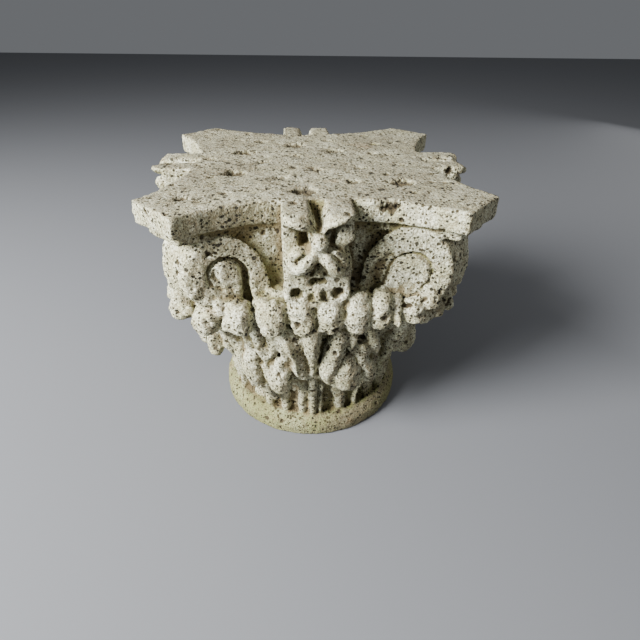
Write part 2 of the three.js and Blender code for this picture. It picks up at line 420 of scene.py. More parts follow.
@dataclass(frozen=True)
class ScrollOutline:
    """A scroll's outline: a crown of two quarter ellipses over a straight side and a round foot."""

    width: float
    crown: float
    top: float
    inner_shoulder: float
    outer_shoulder: float = 340.0
    bulge: float = 2.0
    foot: float = 22.0
    heel: float = 40.0
    bottom: float = 302.0
    root: float = 278.0
    steps: int = 14

    def points(self) -> list[tuple[float, float]]:
        """Corners by how far in from the outer edge they lie and by height."""
        made = [(self.width, self.root)]
        turns = [math.pi / 2 * step / self.steps for step in range(self.steps + 1)]
        for turn in turns:
            made.append((
                self.crown + (self.width - self.crown) * math.cos(turn),
                self.inner_shoulder + (self.top - self.inner_shoulder) * math.sin(turn),
            ))
        for turn in turns[1:]:
            made.append((
                self.crown - (self.crown + self.bulge) * math.sin(turn),
                self.outer_shoulder + (self.top - self.outer_shoulder) * math.cos(turn),
            ))
        for turn in turns[1:]:
            made.append((
                self.foot - (self.foot + self.bulge) * math.cos(turn),
                self.outer_shoulder - (self.outer_shoulder - self.bottom) * math.sin(turn),
            ))
        return made + [(self.heel, self.bottom - 2), (self.heel + 4, self.root)]


@dataclass(frozen=True)
class Spiral:
    """A scroll's channel: a straight tail that runs into a spiral round the eye.

    Places are in from the scroll's outer edge and by height. Angles are degrees, from the side
    nearest the flower and turning upwards. Each pair is the value at the start and at the end.
    """

    eye: tuple[float, float]
    tail: tuple[float, float, float, float]
    start: float
    sweep: float
    radii: tuple[float, float]
    widths: tuple[float, float]
    depths: tuple[float, float]
    steps: int = 12

    def stations(self) -> tuple[tuple[float, float, float, float], ...]:
        """The channel as stations of a groove; its width narrows fastest at the start."""
        made = [self.tail]
        for step in range(self.steps + 1):
            share = step / self.steps
            turn = math.radians(self.start + self.sweep * share)
            radius = self.radii[0] + (self.radii[1] - self.radii[0]) * share
            width = self.widths[1] + (self.widths[0] - self.widths[1]) * (1 - share) ** 2
            depth = self.depths[0] + (self.depths[1] - self.depths[0]) * share
            x = self.eye[0] + radius * math.cos(turn)
            made.append((x, self.eye[1] + radius * math.sin(turn), width, depth))
        return tuple(made)


@dataclass(frozen=True)
class Volutes:
    """Eight scrolls, two to a corner.

    A groove is given in from the scroll's outer edge and by height. The front left corner is
    narrower than the rest, and its scrolls rise flush into the neck.
    """

    across: float = 172.0
    out: float = 206.0
    lean: float = 11.0
    root_reach: float = 160.0
    run: float = 320.0
    narrow: ScrollOutline = ScrollOutline(width=108, crown=53, top=396, inner_shoulder=318)
    wide: ScrollOutline = ScrollOutline(width=119, crown=58, top=403, inner_shoulder=334)
    deep: Spiral = Spiral(
        eye=(48, 342), tail=(78, 296, 8, 17), start=-15, sweep=270,
        radii=(28, 18.5), widths=(6.2, 2.4), depths=(16, 6),
    )
    snail: tuple[tuple[float, float, float, float], ...] = (
        (37, 353, 4, 4), (35, 343, 6, 6), (40, 333, 5, 4),
    )
    thin: Spiral = Spiral(
        eye=(52, 341), tail=(90, 300, 4, 9), start=10, sweep=220,
        radii=(28, 27), widths=(3.2, 2.3), depths=(9, 6),
    )
    slope: tuple[tuple[float, float, float, float], ...] = (
        (80, 364, 8, 5), (92, 344, 13, 9), (100, 296, 13, 12),
    )

    def faces(self, side: Side) -> tuple[Face, Face]:
        """The left and right scroll faces of one side of the capital.

        Args:
            side: The side.

        Returns:
            The left face and the right one.
        """
        turn = Matrix.Rotation(math.radians(side.value), 3, "Z")
        lean = math.radians(self.lean)
        made = []
        for hand in (-1, 1):
            origin = turn @ Vector((hand * self.across, -self.out, 0))
            across = turn @ Vector((-hand * math.cos(lean), math.sin(lean), 0))
            normal = turn @ Vector((-hand * math.sin(lean), -math.cos(lean), 0))
            made.append(Face(origin, across, normal))
        return made[0], made[1]

    def forms(self) -> list[Form]:
        """One block for each corner, cut off at the two scroll faces."""
        lean = math.radians(self.lean)
        slope = (math.cos(lean) + math.sin(lean)) / math.sqrt(2)
        edge = (self.across + self.out) / math.sqrt(2)
        made = []
        for side in Side:
            turn = Matrix.Rotation(math.radians(side.value), 3, "Z")
            outline = [
                turn @ (polar(45, edge - s * slope, z) - polar(-45, self.root_reach, 0))
                for s, z in (self.narrow if side is Side.LEFT else self.wide).points()
            ]
            block = Form.plate(outline, turn @ polar(-45, self.run, 0))
            own = self.faces(side)[1]
            block.cut(own.origin, own.normal)
            other = self.faces(Side((side.value + 90) % 360))[0]
            block.cut(other.origin, other.normal)
            made.append(block)
        return made

    def grooves(self) -> list[Groove]:
        """The spiral channel of every scroll, deeper on the left-hand one of each side."""
        made = []
        for side in Side:
            left, right = self.faces(side)
            made += [Groove(left, self.deep.stations(), 4.0), Groove(left, self.snail, 2.0)]
            made += [Groove(right, self.thin.stations(), 3.0), Groove(right, self.slope, 2.0)]
        return made


@dataclass(frozen=True)
class Fan:
    """A petal that widens from its root to a rounded end. Places are across and height.

    It falls by an angle in degrees below level, and `spot` works in the petal's own directions.
    """

    root: tuple[float, float] = (5.0, 390.0)
    fall: float = 44.0
    length: float = 30.0
    bulge: float = 11.0
    root_half: float = 8.0
    end_half: float = 14.0
    steps: int = 8

    def spot(self, along: float, aside: float) -> tuple[float, float]:
        """The place at a distance along the petal and aside of its middle line, upwards.

        Args:
            along: Distance from the root.
            aside: Distance above the middle line.

        Returns:
            Across and height.
        """
        turn = math.radians(self.fall)
        return (
            self.root[0] + along * math.cos(turn) + aside * math.sin(turn),
            self.root[1] - along * math.sin(turn) + aside * math.cos(turn),
        )

    def outline(self) -> list[tuple[float, float]]:
        """The corners, with the end as half an ellipse."""
        made = [self.spot(0, -self.root_half), self.spot(0, self.root_half)]
        for step in range(self.steps + 1):
            turn = math.pi / 2 - math.pi * step / self.steps
            along = self.length + self.bulge * math.cos(turn)
            made.append(self.spot(along, self.end_half * math.sin(turn)))
        return made


@dataclass(frozen=True)
class Fleuron:
    """The flower in the middle of a side: a block, four folded petals, a knob, a bud and holes."""

    side: Side
    centre: float = 0.0
    half_width: float = 43.0
    face: float = 221.0
    bottom: float = 314.0
    knob: float = 403.0

    @property
    def hands(self) -> dict[int, tuple[float, Fan]]:
        """The left and right petals, uneven as carved: where the upper rim ends, and the lower."""
        return {-1: (425.0, Fan()), 1: (433.0, Fan(fall=49.0))}

    def panel(self, outline: Sequence[tuple[float, float]], back: float, face: float) -> Form:
        """An upright plate: its outline across and up the face, from a depth to another."""
        corners = [flat(self.centre + x, back, z) for x, z in outline]
        return Form.plate(corners, Vector((0, back - face, 0)))

    def ridge(self, spots: Sequence[tuple[float, float, float]], wide: float, deep: float) -> Form:
        """A raised edge of a petal, along spots of across, out and height."""
        line = tuple(flat(self.centre + x, out, z) for x, out, z in spots)
        run = line[-1] - line[0]
        return Tongue(line, wide, deep, 0.9, 1.0, 3.0, side=Vector((-run.z, 0, run.x))).form()

    def rim_spot(self, rim: float, share: float, above: float) -> tuple[float, float]:
        """The place at a share of the way along an upper petal's lower edge, and above it."""
        root = self.knob + 8
        return share * (self.half_width - 1), root + share * (rim - root) + above

    def upper_petal(self, hand: int, rim: float) -> list[Form]:
        """A petal that reaches the bed, with a raised lower edge that ends at the height `rim`.

        Args:
            hand: -1 for the left, 1 for the right.
            rim: Height at which the lower edge ends.

        Returns:
            The petal and its crest.
        """
        corners = (
            (self.half_width, HEIGHT), (12, HEIGHT), self.rim_spot(rim, 0.05, 0),
            self.rim_spot(rim, 1, 0),
        )
        crest = [
            (*self.rim_spot(rim, share, 7), out)
            for share, out in ((0.25, 230), (0.6, 231), (0.87, 228))
        ]
        return [
            self.panel([(hand * x, z) for x, z in corners], 180, 229),
            self.ridge([(hand * x, out, z) for x, z, out in crest], 6, 8),
        ]

    def lower_petal(self, hand: int, petal: Fan) -> list[Form]:
        """A petal that hangs out from under the knob, folded along its middle.

        Args:
            hand: -1 for the left, 1 for the right.
            petal: Its outline.

        Returns:
            The petal, its fold and its raised edge.
        """
        middle = petal.length + petal.bulge - 5
        fold = [
            (*petal.spot(middle * share, -1), out) for share, out in ((0, 232), (0.5, 234), (1, 230))
        ]
        edge = [
            (*petal.spot(along, petal.root_half + 0.3 * along), out)
            for along, out in ((2, 228), (14, 230), (27, 226))
        ]
        return [
            self.panel([(hand * x, z) for x, z in petal.outline()], 200, 228),
            self.ridge([(hand * x, out, z) for x, z, out in fold], 10, 8),
            self.ridge([(hand * x, out, z) for x, z, out in edge], 4.5, 7),
        ]

    def petals(self) -> list[Form]:
        """Two upper petals and two lower ones."""
        made = []
        for hand, (rim, petal) in self.hands.items():
            made += self.upper_petal(hand, rim) + self.lower_petal(hand, petal)
        return made

    def forms(self) -> list[Form]:
        """The flower and its block, turned to its side."""
        half = self.half_width
        outline = [
            (-half, self.bottom + 2), (-20, self.bottom), (-10, 307), (10, 307), (20, self.bottom),
            (half - 2, self.bottom + 2), (half - 1, 345), (half, 360), (half - 2, 378),
            (half - 12, 391), (half, 401), (half, HEIGHT), (12, HEIGHT), (0, 412), (-12, HEIGHT),
            (-half, HEIGHT),
        ]
        made = [self.panel(outline, 150, self.face), *self.petals()]
        for hand, face in ((-1, 174), (1, 169)):
            inner, outer, outer_top = half - 4, half + 50, half + 76
            web = ((inner, 318), (outer, 318), (outer_top, 412), (inner, 412))
            made.append(self.panel([(hand * x, z) for x, z in web], 140, face))
        for across, out, height, size in (
            (0, 231, self.knob, (11, 12, 11)), (-1, 221, 325, (6.5, 9, 8.5)),
            (3, 222, 359, (4.5, 7, 6)), (0, 226, 387, (9, 9, 12)),
        ):
            spot = flat(self.centre + across, out, height)
            ball = Form.ball().moved(
                lambda p, spot=spot, size=size: spot + Vector(a * b for a, b in zip(p, size))
            )
            made.append(ball)
        return [form.spun(self.side.value) for form in made]

    def grooves(self) -> list[Groove]:
        """Hollows, crevices and drill holes."""
        turn = Matrix.Rotation(math.radians(self.side.value), 3, "Z")
        face = Face(
            turn @ Vector((self.centre, -self.face, 0)), turn @ Vector((1, 0, 0)),
            turn @ Vector((0, -1, 0)), 30.0,
        )
        made = []
        for hand, (rim, petal) in self.hands.items():
            for stations, steep in self.cuts(hand, rim, petal):
                placed = tuple((hand * x, z, wide, deep) for x, z, wide, deep in stations)
                made.append(Groove(face, placed, steep))
        return made

    def cuts(self, hand: int, rim: float, petal: Fan) -> list[tuple[list, float]]:
        """One hand's hollows as stations outwards, with how steep their walls are.

        Args:
            hand: -1 for the left, 1 for the right.
            rim: Height at which the upper petal's lower edge ends.
            petal: The lower petal.

        Returns:
            Pairs of stations (across, height, half width, depth) and steepness.
        """
        low, knob = self.bottom, self.knob
        beside = (6.5, 18) if hand < 0 else (3.8, 13)
        valley = [
            (*petal.spot(4, 7), 3, 9), (*petal.spot(18, 8), 3.6, 10), (*petal.spot(31, 5), 3, 8),
        ]
        under = [
            (*self.rim_spot(rim, share, -4), 3, deep)
            for share, deep in ((0.2, 14), (0.45, 12), (0.72, 9))
        ]
        return [
            ([(27, low + 13, 8.5, 16)], 4.0),
            ([(5, low + 30, 6.5, 15)], 3.0),
            ([(8, low + 13, 2.8, 8), (7, low + 5, 2.8, 8)], 2.5),
            ([(0, low + 54, 2.2, 8), (8, low + 40, 3, 11)], 3.0),
            ([(19, knob + 9, *beside), (17, knob - 6, *beside)], 3.5),
            (valley, 2.0),
            (under, 3.0),
        ]


@dataclass(frozen=True)
class MiddleLeaf:
    """The leaf under a fleuron: hanging lobes over a long tapering stem."""

    side: Side

    def lobes(self) -> list[Tongue]:
        """The lobes, each by its middle line."""
        rows = (
            (-110, 206, 304, 261, 19, 16), (-67, 209, 308, 260, 22, 18),
            (-25, 213, 320, 260, 18, 15), (14, 212, 321, 261, 19, 16),
            (50, 211, 319, 260, 18, 17), (83, 208, 315, 262, 16, 15),
            (104, 204, 308, 272, 7, 9), (-133, 198, 300, 284, 9, 11),
        )
        return [
            Tongue(
                (flat(x, out - 10, top), flat(x, out, (top + tip) / 2 + 6), flat(x, out + 1, tip)),
                half_width=wide, half_depth=deep, start=1.0, end=1.0, blunt=4.0,
            )
            for x, out, top, tip, wide, deep in rows
        ]

    def forms(self) -> list[Form]:
        """Body, lobes and stem, turned to its side."""
        body = Backing(
            0, 185, 318,
            lambda z: between(z, 190, 262, 160, 203),
            lambda z: between(z, 190, 262, 10, 33),
        )
        stem = Tongue(
            (flat(-12, 216, 270), flat(-11, 206, 230), flat(-9, 193, 190), flat(-8, 181, 156)),
            half_width=14.5, half_depth=12, start=1.0, end=0.36, blunt=6.0,
        )
        foot = Tongue(
            (flat(-7, 171, 152), flat(-6.5, 158, 105), flat(-6.5, 149, 34)),
            half_width=7.0, half_depth=9, start=0.8, end=1.0, blunt=8.0,
        )
        made = [body.form(), stem.form(), foot.form()] + [lobe.form() for lobe in self.lobes()]
        return [form.spun(self.side.value) for form in made]


@dataclass(frozen=True)
class LowerLeaf:
    """One leaf of the lower row, to the left or right of the middle of a side."""

    side: Side
    hand: int = 1
    egg: bool = False

    def right(self) -> list[Tongue]:
        """The lobes of a right-hand leaf, each by its middle line."""
        return [
            Tongue((polar(10, 196, 250), polar(6.8, 198, 222), polar(4.9, 196, 192),
                    polar(4.2, 193, 168), polar(5.6, 190, 142)), 16.5, 15, 1.1, 0.8),
            Tongue((polar(12, 186, 202), polar(12.6, 191, 178), polar(13.4, 193, 155),
                    polar(14.2, 190, 128)), 25, 20, 0.7, 1.0),
            Tongue((polar(14.5, 186, 212), polar(21, 190, 182), polar(25, 190, 152),
                    polar(26, 187, 126)), 15, 15, 0.75),
            Tongue((polar(14.6, 198, 250), polar(14.4, 192, 210)), 9.5, 11, 0.9, 0.9),
            Tongue((polar(18, 194, 222), polar(24.5, 191, 190)), 9, 11, 0.9, 0.8),
            Tongue((polar(22.5, 196, 250), polar(26, 192, 212), polar(30, 184, 178)),
                   12.5, 13, 0.9, 0.8),
        ]

    def left(self) -> list[Tongue]:
        """The lobes of a left-hand leaf, each by its middle line."""
        return [
            Tongue((polar(-17.4, 184, 196), polar(-17.8, 189, 175), polar(-18.3, 192, 152),
                    polar(-17.8, 189, 123)), 22.5, 18, 0.45, 1.0),
            Tongue((polar(-30, 186, 222), polar(-31.5, 190, 182), polar(-32.5, 189, 150),
                    polar(-31, 184, 116)), 19, 16, 0.7),
            Tongue((polar(-37, 184, 225), polar(-39.5, 185, 185), polar(-40.5, 179, 150),
                    polar(-37, 168, 112)), 14, 14, 0.8),
            Tongue((polar(-28, 184, 155), polar(-27, 172, 112), polar(-24.5, 156, 72)),
                   13, 13, 0.9, 0.7),
            Tongue((polar(-34, 178, 140), polar(-32, 164, 104), polar(-28, 152, 78)),
                   12, 12, 0.9, 0.7),
            Tongue((flat(-44, 200, 262), flat(-40, 198, 236), polar(-9.8, 189, 200),
                    polar(-8.9, 185, 170), polar(-7.4, 181, 148)), 14.5, 13, 1.3, 0.85, blunt=3.0),
            Tongue((flat(-50, 206, 256), flat(-43, 208, 228), polar(-10.6, 200, 200),
                    polar(-9.6, 194, 172), polar(-8.0, 186, 152)), 5.5, 8, 1.0, 0.8, blunt=4.0),
            Tongue((polar(-34, 200, 262), polar(-33, 192, 220), polar(-30.6, 190, 172)),
                   13, 13, 1.0, 0.75),
            Tongue((polar(-27.5, 202, 262), polar(-26.5, 194, 222), polar(-24.5, 190, 182)),
                   12.5, 13, 1.0, 0.75),
            Tongue((polar(-20, 202, 262), polar(-19.5, 195, 222), polar(-22, 190, 190)),
                   12, 13, 0.9, 0.75),
            Tongue((polar(-16, 202, 250), polar(-15.5, 196, 220), polar(-14.2, 188, 182)),
                   9.5, 11, 1.0, 0.75),
            Tongue((polar(-23, 190, 196), polar(-24.5, 190, 165), polar(-24, 184, 130)),
                   7, 10, 0.8, 0.9),
        ]

    def thick(self) -> list[Tongue]:
        """The lobes of a leaf that hangs as one fat egg with a slender lobe beside it."""
        return [
            Tongue((polar(-23.5, 164, 196), polar(-23, 174, 158), polar(-22.5, 174, 108)),
                   23, 25, 0.65, 1.0),
            Tongue((polar(-34, 160, 205), polar(-33, 168, 165), polar(-32, 168, 122)),
                   10, 12, 0.8, 0.8),
            Tongue((polar(-8, 172, 215), polar(-8, 184, 170), polar(-8, 178, 134)), 11, 14, 0.8),
        ]

    def forms(self) -> list[Form]:
        """Body, lobes and feet, turned to the side."""
        lean = 14 if self.egg else 30
        body = Backing(
            self.hand * 17.0, 34, 236,
            lambda z: between(z, 86, 98, 140, 150) + between(z, 104, 150, 0, lean),
            lambda z: between(z, 40, 230, 15, 18),
        )
        made = [body.form()]
        feet = ((2.8, 2.8, 3.5, 3.5), (17, 15, 8.5, 15), (28, 32, 6, 8))
        if self.hand < 0:
            feet = ((-21.3, -21.3, 8, 8), (-9, -8.6, 7.5, 8), (-33, -31, 9, 9))
        for low, high, foot, head in feet:
            line = (
                polar(low, 144, 34), polar(low, 145, 60), polar(high, 148, 92),
                polar(high, 158, 120),
            )
            made.append(Tongue(line, head, 10, foot / head, 1.0, blunt=8.0).form())
        lobes = self.thick() if self.egg else (self.right() if self.hand > 0 else self.left())
        made += [lobe.form() for lobe in lobes]
        return [form.spun(self.side.value) for form in made]


@dataclass(frozen=True)
class CornerLeaf:
    """The leaf under a horn. Each lobe: turn from the corner, reach, tip, half width, half depth."""

    angle: float
    reach: float = 252.0
    top: float = 290.0
    lobes: tuple[tuple[float, float, float, float, float], ...] = (
        (-6.5, 0, 252, 20, 18), (6.5, 0, 250, 20, 18),
        (-17, -12, 262, 15, 16), (17, -12, 262, 15, 16),
    )
    bosses: tuple[Tongue, ...] = ()

    def forms(self) -> list[Form]:
        """Body and lobes under the pair of scrolls."""
        body = Backing(
            self.angle, 34, 290,
            lambda z: between(z, 150, 280, 144, self.reach - 20),
            lambda z: between(z, 150, 300, 6, 14),
        )
        made = [body.form()]
        for turn, shift, tip, wide, deep in self.lobes:
            reach, angle = self.reach + shift - deep * 0.6, self.angle + turn
            line = (
                polar(angle, reach - 12, self.top), polar(angle, reach, 276),
                polar(angle, reach + 1, tip),
            )
            made.append(Tongue(line, wide, deep, 0.85, 1.0, 3.0).form())
        for turn in (-4, 4):
            line = (
                polar(self.angle + turn, self.reach - 34, 262), polar(self.angle + turn, 194, 215),
                polar(self.angle + turn, 180, 158),
            )
            made.append(Tongue(line, 11, 13, 1.0, 0.8).form())
        return made + [boss.form() for boss in self.bosses]


def corner_leaves() -> list[CornerLeaf]:
    """The four corner leaves: two carved unevenly in front, and two plain ones behind."""
    return [
        CornerLeaf(-45, 260, 290, (
            (-6.5, 0, 256, 19, 18), (6, 0, 253, 21, 19), (-17, -12, 264, 15, 16),
            (14, -12, 268, 7, 12),
        ), (
            Tongue((polar(-52, 246, 296), polar(-52, 252, 286), polar(-52, 250, 276)), 11, 13),
            Tongue((polar(-46, 254, 284), polar(-46, 256, 274)), 9, 11),
            Tongue((polar(-36, 248, 292), polar(-35.5, 252, 280)), 10, 12),
        )),
        CornerLeaf(45, 253, 300, (
            (-12, -3, 276, 18, 19), (-3.5, 1, 268, 20, 20), (3.5, 3, 268, 17, 18),
            (-7.5, -2, 272, 26, 19), (14, -6, 262, 14, 15), (-19, -9, 272, 4.5, 9),
        ), (
            Tongue((flat(130, 196, 304), flat(130, 202, 292), flat(130, 202, 280)),
                   17, 16, 1.0, 1.0, 3.5, side=Vector((1, 0.15, 0))),
            Tongue((flat(149, 190, 310), flat(151, 197, 300), flat(151, 198, 288)),
                   16, 18, 1.0, 1.0, 3.5, side=Vector((1, 0.15, 0))),
        )),
        CornerLeaf(135), CornerLeaf(225),
    ]


@dataclass(frozen=True)
class Pit:
    """A single vug: where its middle lies, its size and how deep it goes."""

    spot: Vector
    size: tuple[float, float, float]
    depth: float


@dataclass(frozen=True)
class Weathering:
    """What time has done to the stone: worn edges, gnawed faces and vugs, whose insides the material
    paints dark with dirt and painted shade.
    """

    cell: float = 17.0
    share: float = 0.6
    grain: float = 1.8
    swell: float = 2.8
    fray_width: float = 9.0
    fray: float = 3.2
    least_radius: float = 0.12
    more_radius: float = 0.22
    wave: float = 30.0
    ripple: float = 8.0
    golden: float = 137.5
    top_count: int = 19
    top_reach: float = 165.0
    top_wide: float = 18.0
    lobe_count: int = 26

    def single(self) -> list[Pit]:
        """Vugs that stand alone: one on a horn, one in the slab's edge and two in the bosses."""
        slab = Abacus()
        across = slab.horn_side / 2
        edge = slab.side_centre - math.sqrt(slab.side_radius ** 2 - across ** 2)
        return [
            Pit(polar(-45, 240, HEIGHT), (10, 8, 7), 9),
            Pit(flat(across, edge, HEIGHT - 5), (12, 10, 13), 10),
            Pit(flat(140, 216, 308), (7, 10, 6.5), 9),
            Pit(flat(116, 214, 300), (6.5, 11, 7), 9),
        ]

    def on_top(self) -> list[Pit]:
        """Vugs over the bed, each a golden angle on from the last, and every third one wide."""
        made = []
        for index in range(1, self.top_count + 1):
            turn = math.radians(self.golden * index)
            reach = self.top_reach * math.sqrt(index / self.top_count)
            wide = self.top_wide if index % 3 == 0 else self.top_wide / 2
            spot = Vector((reach * math.cos(turn), reach * math.sin(turn), HEIGHT))
            made.append(Pit(spot, (wide, wide * 0.8, 9), 9))
        return made

    def on_lobes(self) -> list[Pit]:
        """Small vugs at even turns round the hanging lobes, high and low by turns."""
        made = []
        for index in range(self.lobe_count):
            angle = 360 / self.lobe_count * (index + 0.4)
            from_middle = abs((angle + 45) % 90 - 45)
            reach = between(from_middle, 18, 42, 229, 262)
            height = 272 + 11 * (index % 2)
            made.append(Pit(polar(angle, reach, height), (6, 6, 6), 7))
        return made

    def gnawed(self, points: np.ndarray, normals: np.ndarray) -> tuple[np.ndarray, np.ndarray]:
        """Eats vugs and unevenness into the surface.

        Args:
            points: The block's points, in millimetres.
            normals: Their outward directions.

        Returns:
            The moved points, and how deep in a vug each one lies, from 0 to 1.
        """
        sink = np.zeros(len(points))
        vug = np.zeros(len(points))
        for index, spot in enumerate(points):
            spot = Vector(spot)
            wobble = noise.noise_vector(spot / self.fray_width) * self.fray
            cell = (spot + wobble) / self.cell
            far, seeds = noise.voronoi(cell)
            luck = noise.cell(seeds[0] * 7.31 + Vector((3.1, 1.7, 9.2)))
            luck = abs(luck) % 1.0
            if luck < self.share:
                radius = self.least_radius + self.more_radius * (luck / self.share) ** 2
                near = 1 - (far[0] / radius) ** 2
                if near > 0:
                    vug[index] = min(1.0, near * 1.6)
                    sink[index] += radius * self.cell * 0.95 * math.sqrt(near)
            wear = between(spot.z, 318, 345, 1.0, 0.5) * between(spot.z, 36, 60, 0.4, 1.0)
            sink[index] -= wear * self.swell * noise.fractal(spot / self.wave, 1.0, 2.0, 4)
            sink[index] += wear * self.grain * noise.fractal(spot / self.ripple, 0.7, 2.0, 2)
        for pit in self.single() + self.on_top() + self.on_lobes():
            rel = (points - np.array(pit.spot)) / np.array(pit.size)
            far = (rel ** 2).sum(1)
            for index in np.flatnonzero(far < 2.5):
                far[index] += 0.7 * noise.fractal(Vector(points[index]) / 7.0, 0.8, 2.0, 3)
            near = np.clip(1 - far, 0, 1)
            vug = np.maximum(vug, np.clip(near * 1.5, 0, 1))
            sink += pit.depth * np.sqrt(near)
        flat_top = (points[:, 2] > HEIGHT - 2.5) & (normals[:, 2] > 0.8)
        sink[flat_top] = np.maximum(sink[flat_top], 0.0)
        return points - sink[:, None] * normals, vug


class Block:
    """The stone block: forms fused into one closed skin, then carved and weathered."""

    def __init__(self, name: str) -> None:
        """Starts an empty block."""
        self.name = name
        self.bm = bmesh.new()
        self.piece: bpy.types.Object | None = None

    def add(self, forms: Iterable[Form]) -> None:
        """Adds closed forms to the block.

        Args:
            forms: The forms, which are used up.
        """
        for form in forms:
            scratch = bpy.data.meshes.new("scratch")
            form.bm.to_mesh(scratch)
            self.bm.from_mesh(scratch)
            bpy.data.meshes.remove(scratch)
            form.bm.free()

    def fuse(self, voxel: float) -> None:
        """Makes one closed skin of everything, at a voxel size in millimetres.

        Args:
            voxel: The voxel size.
        """
        if self.piece is None:
            skin = bpy.data.meshes.new(self.name)
            self.bm.to_mesh(skin)
            self.bm.free()
            self.piece = bpy.data.objects.new(self.name, skin)
            bpy.context.scene.collection.objects.link(self.piece)
        remesh = self.piece.modifiers.new("fuse", "REMESH")
        remesh.mode = "VOXEL"
        remesh.voxel_size = voxel
        remesh.adaptivity = 0.0
        self.apply()

    def apply(self) -> None:
        """Makes the modifiers' result the mesh itself."""
        graph = bpy.context.evaluated_depsgraph_get()
        graph.update()
        made = bpy.data.meshes.new_from_object(self.piece.evaluated_get(graph))
        old = self.piece.data
        self.piece.modifiers.clear()
        self.piece.data = made
        bpy.data.meshes.remove(old)
        made.name = self.name

    @property
    def points(self) -> np.ndarray:
        """The skin's points."""
        values = np.zeros(len(self.piece.data.vertices) * 3)
        self.piece.data.vertices.foreach_get("co", values)
        return values.reshape(-1, 3)

    @points.setter
    def points(self, moved: np.ndarray) -> None:
        """Puts every point of the skin at its new place."""
        self.piece.data.vertices.foreach_set("co", moved.ravel())
        self.piece.data.update()

    @property
    def normals(self) -> np.ndarray:
        """The outward direction at each point."""
        values = np.zeros(len(self.piece.data.vertices) * 3, np.float32)
        self.piece.data.vertex_normals.foreach_get("vector", values)
        return values.reshape(-1, 3).astype(float)

    def relaxed(self, points: np.ndarray, rounds: int, share: float = 0.5) -> np.ndarray:
        """Draws each point towards the middle of its neighbours.

        Args:
            points: Where the points are.
            rounds: How many times.
            share: How far each time, from 0 to 1.

        Returns:
            The relaxed points.
        """
        ends = np.zeros(len(self.piece.data.edges) * 2, np.int64)
        self.piece.data.edges.foreach_get("vertices", ends)
        first, last = ends[0::2], ends[1::2]
        count = len(points)
        links = np.bincount(first, minlength=count) + np.bincount(last, minlength=count)
        links = np.maximum(links, 1)
        for _ in range(rounds):
            total = np.stack([
                np.bincount(first, points[last, k], count)
                + np.bincount(last, points[first, k], count)
                for k in range(3)
            ], axis=1)
            points = points + share * (total / links[:, None] - points)
        return points

    def mark(self, name: str, values: np.ndarray) -> None:
        """Keeps a value for each point as an attribute."""
        attribute = self.piece.data.attributes.new(name, "FLOAT", "POINT")
        attribute.data.foreach_set("value", values.astype(np.float32))

    def thin(self, triangles: int) -> None:
        """Takes faces away where the surface is plain, down to a count of triangles.

        Args:
            triangles: The most that may be left.
        """
        self.piece.data.update()
        now = sum(len(p.vertices) - 2 for p in self.piece.data.polygons)
        if now <= triangles:
            return
        decimate = self.piece.modifiers.new("thin", "DECIMATE")
        decimate.ratio = triangles / now
        decimate.use_collapse_triangulate = True
        self.apply()


class Socket:
    """A shader value that works in ordinary sums."""

    def __init__(self, nodes: "Nodes", link: Any) -> None:
        """Wraps an output socket."""
        self.nodes = nodes
        self.link = link

    def _maths(self, operation: str, *values: Any) -> "Socket":
        """One Math node of this value or others."""
        return self.nodes.node(
            "ShaderNodeMath", {"operation": operation}, dict(enumerate(values))
        )

    def __add__(self, other: Any) -> "Socket":
        """self + other"""
        return self._maths("ADD", self, other)

    def __radd__(self, other: Any) -> "Socket":
        """other + self"""
        return self._maths("ADD", other, self)

    def __sub__(self, other: Any) -> "Socket":
        """self - other"""
        return self._maths("SUBTRACT", self, other)

    def __rsub__(self, other: Any) -> "Socket":
        """other - self"""
        return self._maths("SUBTRACT", other, self)

    def __mul__(self, other: Any) -> "Socket":
        """self * other"""
        return self._maths("MULTIPLY", self, other)

    def __rmul__(self, other: Any) -> "Socket":
        """other * self"""
        return self._maths("MULTIPLY", other, self)

    def __truediv__(self, other: Any) -> "Socket":
        """self / other"""
        return self._maths("DIVIDE", self, other)

    def highest(self, other: Any) -> "Socket":
        """The larger of two values."""
        return self._maths("MAXIMUM", self, other)

    def ramp(self, low: Any, high: Any, first: float = 0.0, last: float = 1.0) -> "Socket":
        """A soft blend from first to last while the value goes from low to high.

        Args:
            low: Where the blend starts.
            high: Where it ends.
            first: The value up to there.
            last: The value from there.

        Returns:
            The blended value.
        """
        return self.nodes.node(
            "ShaderNodeMapRange", {"interpolation_type": "SMOOTHSTEP", "clamp": True},
            {"Value": self, "From Min": low, "From Max": high, "To Min": first, "To Max": last},
        )


class Nodes:
    """Builds one material's nodes."""

    def __init__(self, name: str) -> None:
        """A new material with its principled shader."""
        self.material = bpy.data.materials.new(name)
        self.material.use_nodes = True
        self.tree = self.material.node_tree
        self.shader = self.tree.nodes["Principled BSDF"]

    def node(
        self, kind: str, settings: dict[str, Any] | None = None,
        values: dict[Any, Any] | None = None, output: int | str = 0,
    ) -> Socket:
        """Adds a node.

        Args:
            kind: The node's type.
            settings: Its own settings, which are set first.
            values: A value or a link for each input, by name or number.
            output: Which output to hand back.

        Returns:
            The output as a Socket.
        """
        made = self.tree.nodes.new(kind)
        for key, value in (settings or {}).items():
            setattr(made, key, value)
        for key, value in (values or {}).items():
            self.join(made.inputs[key], value)
        return Socket(self, made.outputs[output])

    def join(self, entry: Any, value: Any) -> None:
        """Links a socket to an input, or sets the input's value."""
        if isinstance(value, Socket):
            self.tree.links.new(value.link, entry)
        else:
            entry.default_value = value

    def mix(self, share: Any, first: Any, last: Any) -> Socket:
        """A mix of two colours.

        Args:
            share: How much of the last colour.
            first: The first colour.
            last: The last colour.

        Returns:
            The mixed colour.
        """
        made = self.tree.nodes.new("ShaderNodeMix")
        made.data_type = "RGBA"
        for entry, value in ((made.inputs[0], share), (made.inputs[6], first), (made.inputs[7], last)):
            self.join(entry, value)
        return Socket(self, made.outputs[2])


